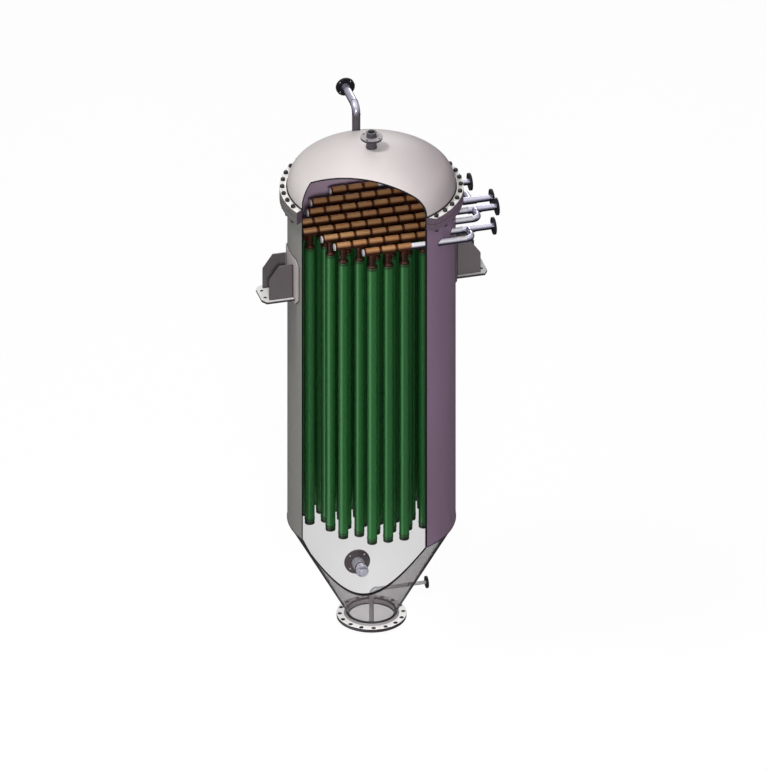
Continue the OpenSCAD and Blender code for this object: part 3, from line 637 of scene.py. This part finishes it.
def wedge(z0, z1):
    """The sector that is cut away, as a prism, in a mesh of its own."""
    bm = bmesh.new()
    far = 3.0
    plan = [
        CUT_CORNER,
        CUT_CORNER + far * Vector((math.cos(LONG_CUT), -math.sin(LONG_CUT))),
        CUT_CORNER - far * Vector((math.cos(SIDE_CUT), math.sin(SIDE_CUT))),
    ]
    low = [bm.verts.new((p.x, p.y, z0)) for p in plan]
    high = [bm.verts.new((p.x, p.y, z1)) for p in plan]
    bm.faces.new(low)
    bm.faces.new(high)
    for k in range(3):
        bm.faces.new((low[k], low[(k + 1) % 3], high[(k + 1) % 3], high[k]))
    bmesh.ops.recalc_face_normals(bm, faces=bm.faces)
    return bm


def drill(bm, place, radius, start, end, steps=28):
    """Adds a solid cylinder along the Z of a place, for a cut."""
    turned(bm, [(0, start), (radius, start), (radius, end), (0, end)], steps, place)


def without(bm, *cutters):
    """The mesh of one bmesh with others taken out of it."""
    bmesh.ops.recalc_face_normals(bm, faces=bm.faces)
    whole = bpy.data.meshes.new("whole")
    bm.to_mesh(whole)
    bm.free()
    body = put("whole", whole)
    tools = []
    for index, cutter in enumerate(cutters):
        bmesh.ops.recalc_face_normals(cutter, faces=cutter.faces)
        tool_mesh = bpy.data.meshes.new(f"tool_{index}")
        cutter.to_mesh(tool_mesh)
        cutter.free()
        tool = put(f"tool_{index}", tool_mesh)
        tools.append(tool)
        step = body.modifiers.new(f"cut_{index}", "BOOLEAN")
        step.operation, step.solver, step.object = "DIFFERENCE", "EXACT", tool
    seen = bpy.context.evaluated_depsgraph_get()
    result = bpy.data.meshes.new_from_object(body.evaluated_get(seen))
    for thing in (body, *tools):
        bpy.data.objects.remove(thing)
    return result


def at(x, y, z=0.0):
    """A move to a point."""
    return Matrix.Translation((x, y, z))


ALONG_X = Matrix.Rotation(math.radians(90), 4, "Y")
ALONG_Y = Matrix.Rotation(math.radians(-90), 4, "X")


# Plates and flanges

plate, holes = bmesh.new(), bmesh.new()
turned(plate, ring_profile(SHELL_FOOT, FACE, SHELL_IN, SHELL_OUT, 0.0008, 1), 288)
for y in ROW_Y:
    drill(holes, at(0, y, REGISTER_Z) @ ALONG_X, REGISTER_R + FIT, 0.3, 0.7, 32)
dress(without(plate, wedge(0.5, 4.5), holes), "shell_plate", "shell_steel", "vessel", ["shell"])

plate, holes = bmesh.new(), bmesh.new()
neck_in = NECK_OUT - WALL
turned(
    plate,
    [
        (NECK_OUT, NECK_FOOT), (NECK_OUT, CONE_FOOT), (SHELL_OUT, SHELL_FOOT),
        (SHELL_IN, SHELL_FOOT), (neck_in, CONE_FOOT), (neck_in, NECK_FOOT),
    ],
    240,
)
drill(holes, at(0, 0, FEED_Z) @ ALONG_Y, FEED_R + FIT, 0.0, 0.5, 40)
drill(holes, at(0, 0, DRAIN_Z) @ ALONG_X, DRAIN_R + FIT, 0.0, 0.5, 24)
dress(
    without(plate, wedge(0.041, 1.0), holes), "cone_plate", "cone_steel", "vessel",
    ["discharge_cone"], 20,
)


def dish_curve(inset, knuckle_steps=22, crown_steps=46):
    """Points up the head's face from its skirt to the centre hole, inset from its outside."""
    turn = math.pi / 2 - CROWN_EDGE
    points = [(SHELL_OUT - inset, HEAD_FOOT)]
    for k in range(knuckle_steps + 1):
        a = k * turn / knuckle_steps
        r = KNUCKLE_R - inset
        points.append((KNUCKLE_X + r * math.cos(a), KNUCKLE_Z + r * math.sin(a)))
    end = math.asin((CENTRE_R + FIT) / (CROWN_R - inset))
    for k in range(1, crown_steps + 1):
        a = CROWN_EDGE + k * (end - CROWN_EDGE) / crown_steps
        r = CROWN_R - inset
        points.append((r * math.sin(a), CROWN_Z + r * math.cos(a)))
    return points


plate, holes = bmesh.new(), bmesh.new()
turned(plate, dish_curve(0) + dish_curve(WALL)[::-1], 256)
drill(holes, at(0, VENT_Y), VENT_R + FIT, 3.6, 4.2, 40)
dress(without(plate, wedge(3.0, 4.5), holes), "head_dish", "head_steel", "head", ["head"], 40)

for name, finish_name, body, z in (
    ("shell_flange", "lower_flange", "vessel", FACE - FLANGE_T),
    ("head_flange", "body_flange", "head", HEAD_FOOT),
):
    plate, holes = bmesh.new(), bmesh.new()
    turned(plate, ring_profile(z, z + FLANGE_T, SHELL_OUT + FIT, FLANGE_R, 0.0022), 288)
    for x, y in BOLTS:
        drill(holes, at(x, y), BOLT_HOLE_R, z - 0.01, z + FLANGE_T + 0.01)
    dress(without(plate, wedge(3.0, 4.5), holes), name + "_ring", finish_name, body, [name])

plate, holes = bmesh.new(), bmesh.new()
bore = NECK_OUT + FIT
section = [
    (bore, 0), (PLATE_R, 0), (PLATE_R, PLATE_T), (bore + HUB_FOOT, PLATE_T),
    (bore + HUB_LIP, HUB_TOP), (bore, HUB_TOP),
]
turned(plate, eased(section, 0.0022), 192)
for k in range(HOLE_COUNT):
    a = (k + 0.5) * 2 * math.pi / HOLE_COUNT
    drill(holes, at(HOLE_CIRCLE * math.cos(a), HOLE_CIRCLE * math.sin(a)), HOLE_R, -0.01, 0.05)
dress(
    without(plate, holes), "discharge_flange_ring", "drilled_flange", "vessel",
    ["discharge_flange"],
)


# Pieces made by Geometry Nodes


def shape_tree(name, inputs):
    """A geometry tree; returns its web and the sockets of its input and output nodes."""
    tree = bpy.data.node_groups.new(name, "GeometryNodeTree")
    kinds = {
        "geometry": "NodeSocketGeometry", "float": "NodeSocketFloat", "int": "NodeSocketInt",
        "material": "NodeSocketMaterial", "object": "NodeSocketObject",
    }
    tree.interface.new_socket("Geometry", in_out="INPUT", socket_type=kinds["geometry"])
    for label, kind in inputs.items():
        tree.interface.new_socket(label, in_out="INPUT", socket_type=kinds[kind])
    tree.interface.new_socket("Geometry", in_out="OUTPUT", socket_type=kinds["geometry"])
    web = Web(tree)
    return web, web("NodeGroupInput").outputs, web("NodeGroupOutput").inputs


def end_tree(web, shape, material, out):
    """Ends a tree in plain geometry with its material."""
    real = web("GeometryNodeRealizeInstances", {0: shape}).outputs[0]
    done = web("GeometryNodeSetMaterial", {"Geometry": real, "Material": material}).outputs[0]
    web.join(done, out["Geometry"])


def grow(mesh, tree_name, **values):
    """Runs a geometry tree on a mesh and returns the plain mesh that it makes."""
    seed = put("seed", mesh)
    step = seed.modifiers.new("grow", "NODES")
    step.node_group = bpy.data.node_groups[tree_name]
    for item in step.node_group.interface.items_tree:
        if item.item_type != "SOCKET":
            continue
        key = item.name.replace(" ", "_")
        if item.in_out == "INPUT" and key in values:
            step[item.identifier] = values[key]
    seen = bpy.context.evaluated_depsgraph_get()
    result = bpy.data.meshes.new_from_object(seed.evaluated_get(seen))
    bpy.data.objects.remove(seed)
    return result


def points_mesh(places):
    """A mesh of loose points."""
    mesh = bpy.data.meshes.new("places")
    mesh.from_pydata([tuple(p) for p in places], [], [])
    return mesh


def make_trees():
    """The two trees: copies of a part at points, and a weld bead along lines."""
    web, given, out = shape_tree("copies_at_places", {"Part": "object", "Material": "material"})
    part = web("GeometryNodeObjectInfo", {"Object": given["Part"]}).outputs["Geometry"]
    spread = web(
        "GeometryNodeInstanceOnPoints", {"Points": given["Geometry"], "Instance": part}
    ).outputs[0]
    end_tree(web, spread, given["Material"], out)

    web, given, out = shape_tree(
        "weld_bead", {"Step": "float", "Bead radius": "float", "Material": "material"}
    )
    curve = web("GeometryNodeMeshToCurve", {"Mesh": given["Geometry"]}).outputs[0]
    curve = web(
        "GeometryNodeResampleCurve", {"Curve": curve, "Length": given["Step"]}, mode="LENGTH"
    ).outputs[0]
    along = web("GeometryNodeSplineParameter").outputs["Length"]
    curve = web(
        "GeometryNodeStoreNamedAttribute",
        {"Geometry": curve, "Name": "along", "Value": along},
        data_type="FLOAT", domain="POINT",
    ).outputs[0]
    size = web(
        "GeometryNodeInputNamedAttribute", {"Name": "size"}, data_type="FLOAT"
    ).outputs["Attribute"]
    uneven = web("ShaderNodeTexNoise", {"Scale": 45.0}).outputs[0]
    uneven = web.span(uneven, 0.25, 0.75, 0.88, 1.12)
    width = web.maths("MULTIPLY", web.maths("MULTIPLY", size, uneven), given["Bead radius"])
    round_profile = web(
        "GeometryNodeCurvePrimitiveCircle", {"Resolution": 8, "Radius": 1.0}
    ).outputs[0]
    bead = web(
        "GeometryNodeCurveToMesh",
        {"Curve": curve, "Profile Curve": round_profile, "Scale": width, "Fill Caps": True},
    ).outputs[0]
    end_tree(web, bead, given["Material"], out)


make_trees()


def hex_nut(across, height, bore, steps=36):
    """A chamfered nut standing on the origin, with its bore and a washer face."""
    bm = bmesh.new()
    flat = across / 2
    top_r = 0.95 * flat
    rings = []

    def ring(radius_at, height_at):
        verts = []
        for k in range(steps):
            a = 2 * math.pi * k / steps
            r = radius_at(a)
            verts.append(bm.verts.new((r * math.cos(a), r * math.sin(a), height_at(r))))
        rings.append(verts)

    def hexagon(a):
        inside = (a % (math.pi / 3)) - math.pi / 6
        return flat / math.cos(inside)

    slope = math.tan(math.radians(30))
    foot, bore_chamfer = 0.0008, 0.0012
    ring(lambda a: bore, lambda r: 0)
    ring(lambda a: top_r, lambda r: 0)
    ring(lambda a: top_r, lambda r: foot)
    ring(hexagon, lambda r: foot + (r - top_r) * slope * 0.4)
    ring(hexagon, lambda r: height - (r - top_r) * slope)
    ring(lambda a: top_r, lambda r: height)
    ring(lambda a: bore + bore_chamfer, lambda r: height)
    ring(lambda a: bore, lambda r: height - bore_chamfer)
    for low, high in zip(rings, rings[1:] + rings[:1]):
        for k in range(steps):
            j = (k + 1) % steps
            bm.faces.new((low[k], low[j], high[j], high[k]))
    return bm


def threaded_rod(radius, length, thread, pitch, steps=18):
    """A stud standing on the origin, threaded over a length at each end, with chamfered ends."""
    depth, point_in, point_h = 0.6 * pitch, 0.0018, 0.0016
    profile = [(0, 0), (radius - point_in, 0), (radius - depth * 0.2, point_h)]
    z = point_h + pitch / 2
    while z < thread:
        profile += [(radius - depth, z), (radius, z + pitch / 2)]
        z += pitch
    upper = [(r, length - h) for r, h in reversed(profile)]
    bm = bmesh.new()
    turned(bm, profile + upper, steps)
    return bm


def spread(name, bm, places, finish_name, body, replaced):
    """Copies of a part at places, as one piece."""
    bmesh.ops.recalc_face_normals(bm, faces=bm.faces)
    mesh = bpy.data.meshes.new("part")
    bm.to_mesh(mesh)
    bm.free()
    part = put("part", mesh)
    result = grow(
        points_mesh(places), "copies_at_places", Part=part, Material=FINISH[finish_name]
    )
    bpy.data.objects.remove(part)
    dress(result, name, finish_name, body, replaced)


STUD_R, STUD_LENGTH, THREAD_LENGTH, THREAD_PITCH = 0.010, 0.148, 0.046, 0.0025
NUT_ACROSS, NUT_H, NUT_BORE, STUD_PAST_NUT = 0.030, 0.018, 0.0103, 0.006
nut_z = FACE - FLANGE_T - NUT_H
spread(
    "stud_bolts", threaded_rod(STUD_R, STUD_LENGTH, THREAD_LENGTH, THREAD_PITCH),
    [(x, y, nut_z - STUD_PAST_NUT) for x, y in BOLTS], "bolting", "vessel", ["head_studs"],
)
for name, body, z in (
    ("lower_nuts", "vessel", nut_z), ("upper_nuts", "head", HEAD_FOOT + FLANGE_T),
):
    spread(
        "stud_" + name, hex_nut(NUT_ACROSS, NUT_H, NUT_BORE),
        [(x, y, z) for x, y in BOLTS], "bolting", body, ["head_" + name],
    )


# Weld beads


def arc(radius, z, start=0.0, end=360.0, step=1.0):
    """Points round Z at a radius and height, between two angles in degrees."""
    count = max(2, round(abs(end - start) / step))
    out = []
    for k in range(count + 1):
        a = math.radians(start + (end - start) * k / count)
        out.append((radius * math.cos(a), radius * math.sin(a), z))
    return out


def kept(path):
    """The runs of a path that lie outside the sector that is cut away."""
    runs, run = [], []
    for p in path:
        if past_cut(p[0], p[1]) < 0.0:
            run.append(p)
        elif run:
            runs.append(run)
            run = []
    if run:
        runs.append(run)
    if len(runs) > 1 and (Vector(runs[0][0]) - Vector(runs[-1][-1])).length < 1e-4:
        runs[0] = runs.pop() + runs[0][1:]
    return runs


def pipe_foot(surface, radius, steps=48):
    """The closed line where a pipe meets a surface, which takes two offsets from the pipe's middle
    and gives the point of the face there."""
    turns = [2 * math.pi * k / steps for k in range(steps + 1)]
    return [surface(radius * math.cos(a), radius * math.sin(a)) for a in turns]


# Each gives the point of a face from the two coordinates that lie across a pipe
def on_shell(y, z):
    return math.sqrt(SHELL_OUT**2 - y * y), y, z


def on_cone_side(y, z):
    return math.sqrt(cone_r(z) ** 2 - y * y), y, z


def on_cone_back(x, z):
    return x, math.sqrt(cone_r(z) ** 2 - x * x), z


def on_crown(x, y):
    return x, y, head_height(math.hypot(x, y))


SEAM_TURN, SEAM_LIFT, SEAM_STEP, SEAM_POINTS = 1.1, 0.01, 0.05, 53
FEED_WELD_Y = 0.3871


def vessel_beads():
    """Each fine weld of the vessel, as its size and its points."""
    beads = [(1.1, run) for run in kept(arc(SHELL_OUT + 0.001, FACE - FLANGE_T - 0.001))]
    # The upright seam of the shell
    x, y = SHELL_OUT * math.cos(SEAM_TURN), SHELL_OUT * math.sin(SEAM_TURN)
    seam_foot = SHELL_FOOT + SEAM_LIFT
    beads.append((0.8, [(x, y, seam_foot + k * SEAM_STEP) for k in range(SEAM_POINTS)]))
    for middle in ROW_Y:
        line = pipe_foot(lambda u, v: on_shell(middle + u, REGISTER_Z + v), REGISTER_R)
        beads.append((0.8, line))
    beads.append((1.0, pipe_foot(lambda u, v: on_cone_back(u, FEED_Z + v), FEED_R)))
    beads.append((0.6, pipe_foot(lambda u, v: on_cone_side(u, DRAIN_Z + v), DRAIN_R)))
    beads += lug_beads()
    ring = [(FEED_R * math.cos(k / 8), FEED_R * math.sin(k / 8)) for k in range(51)]
    beads.append((0.6, [(u, FEED_WELD_Y, FEED_Z + v) for u, v in ring]))
    return beads


def head_beads():
    """Each fine weld of the head, as its size and its points."""
    socket_r, flange_z, socket_z = 0.0360, HEAD_TOP + 0.072, HEAD_TOP + 0.088
    beads = [
        (0.9, arc(CENTRE_R, head_height(CENTRE_R), step=8)),
        (0.7, arc(CENTRE_R, flange_z, step=8)),
        (0.7, arc(socket_r, socket_z, step=8)),
        (0.9, pipe_foot(lambda u, v: on_crown(u, VENT_Y + v), VENT_R)),
    ]
    vent_z, elbow_r, vent_end = HEAD_TOP + 0.098, 0.062, 0.294
    ring = arc(VENT_R, 0, step=9)
    beads.append((0.5, [(u, VENT_Y + v, vent_z - elbow_r) for u, v, _ in ring]))
    for y in (VENT_Y + elbow_r, VENT_Y + vent_end):
        beads.append((0.5, [(u, y, vent_z + v) for u, v, _ in ring]))
    return beads


def lug_beads():
    """The welds of one lug, set out on the X axis and turned to each lug's place."""
    half, tall, corner, foot = 0.165, 0.367, 0.042, LUG_Z - 0.042
    pad = [
        (corner - half, foot), (half - corner, foot), (half, foot + corner),
        (half, foot + tall - corner), (half - corner, foot + tall), (corner - half, foot + tall),
        (-half, foot + tall - corner), (-half, foot + corner),
    ]
    edge = []
    for (y0, z0), (y1, z1) in zip(pad, pad[1:] + pad[:1]):
        count = max(1, round(math.hypot(y1 - y0, z1 - z0) / 0.02))
        for k in range(count):
            y, z = y0 + (y1 - y0) * k / count, z0 + (z1 - z0) * k / count
            edge.append((math.sqrt((SHELL_OUT + 0.001) ** 2 - y * y), y, z))
    edge.append(edge[0])
    lines = [(1.0, edge)]
    gusset_y, half_gusset_t, gusset_end, gusset_h, gap = 0.091, 0.006, 0.786, 0.26, 0.004
    for side in (-1, 1):
        for face in (-1, 1):
            y = side * gusset_y + face * half_gusset_t
            x = math.sqrt(PAD_R**2 - y * y)
            lines.append((0.7, [(x, y, LUG_Z + gap + gusset_h * k / 26) for k in range(27)]))
            reach = gusset_end - x
            lines.append((0.7, [(x + gap + reach * k / 16, y, LUG_Z) for k in range(17)]))
    lines.append((0.8, arc(PAD_R, LUG_Z, -11.5, 11.5)))
    beads = []
    for turn in LUG_TURNS:
        swing = Matrix.Rotation(math.radians(turn), 4, "Z")
        beads += [(size, [tuple(swing @ Vector(p)) for p in line]) for size, line in lines]
    return beads


def vessel_rings():
    """The vessel's welds that have darkened, as their sizes and points."""
    rings = [(2.1, arc(NECK_OUT + 0.001, CONE_FOOT)), (1.3, arc(NECK_OUT - WALL, 0.003))]
    return rings + [(0.8, run) for run in kept(arc(SHELL_OUT, SHELL_FOOT))]


def head_rings():
    """The head's welds that have darkened, as their sizes and points."""
    return [(1.9, run) for run in kept(arc(SHELL_OUT + 0.001, HEAD_FOOT + FLANGE_T + 0.001))]


for name, body, finish_name, lines in (
    ("vessel_weld_beads", "vessel", "weld_steel", vessel_beads()),
    ("head_weld_beads", "head", "weld_steel", head_beads()),
    ("vessel_weld_rings", "vessel", "dark_weld", vessel_rings()),
    ("head_weld_rings", "head", "dark_weld", head_rings()),
):
    points, edges, sizes = [], [], []
    for size, line in lines:
        start = len(points)
        points += line
        edges += [(start + k, start + k + 1) for k in range(len(line) - 1)]
        sizes += [size] * len(line)
    mesh = bpy.data.meshes.new("bead_lines")
    mesh.from_pydata(points, edges, [])
    layer = mesh.attributes.new("size", "FLOAT", "POINT")
    layer.data.foreach_set("value", sizes)
    beads = grow(
        mesh, "weld_bead", Step=0.007, Bead_radius=0.0042, Material=FINISH[finish_name]
    )
    dress(beads, name, finish_name, body, (), 60)


# Floor and sky

FLOOR_Z, FLOOR_HALF = -0.052, 30
SQUARE = ((-1, -1), (1, -1), (1, 1), (-1, 1))
corners = [(x * FLOOR_HALF, y * FLOOR_HALF, FLOOR_Z) for x, y in SQUARE]
floor_mesh = bpy.data.meshes.new("floor")
floor_mesh.from_pydata(corners, [], [(0, 1, 2, 3)])
floor_piece = put("floor", floor_mesh)


def white_to_camera(web):
    """The outputs of a Light Path node, and 1 for the rays that should see plain white."""
    path = web("ShaderNodeLightPath").outputs
    return path, web.maths("MAXIMUM", path["Is Camera Ray"], path["Is Transmission Ray"])


# Glossy pieces see the floor dark, but for one bright sector that gives tubes a line of light
PANEL_START, PANEL_END = (-3.1, -2.9), (-2.1, -2.25)
floor_paint = bpy.data.materials.new("floor_white")
floor_paint.use_nodes = True
floor_paint.node_tree.nodes.clear()
web = Web(floor_paint.node_tree)
path, seen = white_to_camera(web)
x, y, _ = web.parts(web.place())
bearing = web.maths("ARCTAN2", y, x)
panel = web.maths("MULTIPLY", web.span(bearing, *PANEL_START), web.span(bearing, *PANEL_END))
panel = web.span(panel, 0, 1, 0.14, 1.0)
seen = web.maths("MULTIPLY_ADD", seen, 0.93, path["Is Glossy Ray"])
matt = web("ShaderNodeBsdfDiffuse", {"Color": (0.9, 0.9, 0.9, 1)})
level = web("ShaderNodeMix", {0: path["Is Glossy Ray"], 2: 1.02, 3: panel}).outputs[0]
bright = web("ShaderNodeEmission", {"Color": (1, 1, 1, 1), "Strength": level})
blend = web("ShaderNodeMixShader", {0: seen, 1: matt.outputs[0], 2: bright.outputs[0]})
web("ShaderNodeOutputMaterial", {0: blend.outputs[0]})
floor_mesh.materials.append(floor_paint)

sky = bpy.data.worlds.new("sky")
bpy.context.scene.world = sky
sky.use_nodes = True
sky.node_tree.nodes.clear()
web = Web(sky.node_tree)
path, seen = white_to_camera(web)
height = web.parts(web("ShaderNodeTexCoord").outputs["Generated"])[2]
dome = web.maths("MULTIPLY", web.span(height, 0.4, 0.9, 0.12, 0.95), path["Is Glossy Ray"])
strength = web.maths("ADD", web.span(seen, 0, 1, 0.27, 1.0), dome)
ground = web("ShaderNodeBackground", {"Color": (1, 1, 1, 1), "Strength": strength})
web("ShaderNodeOutputWorld", {0: ground.outputs[0]})
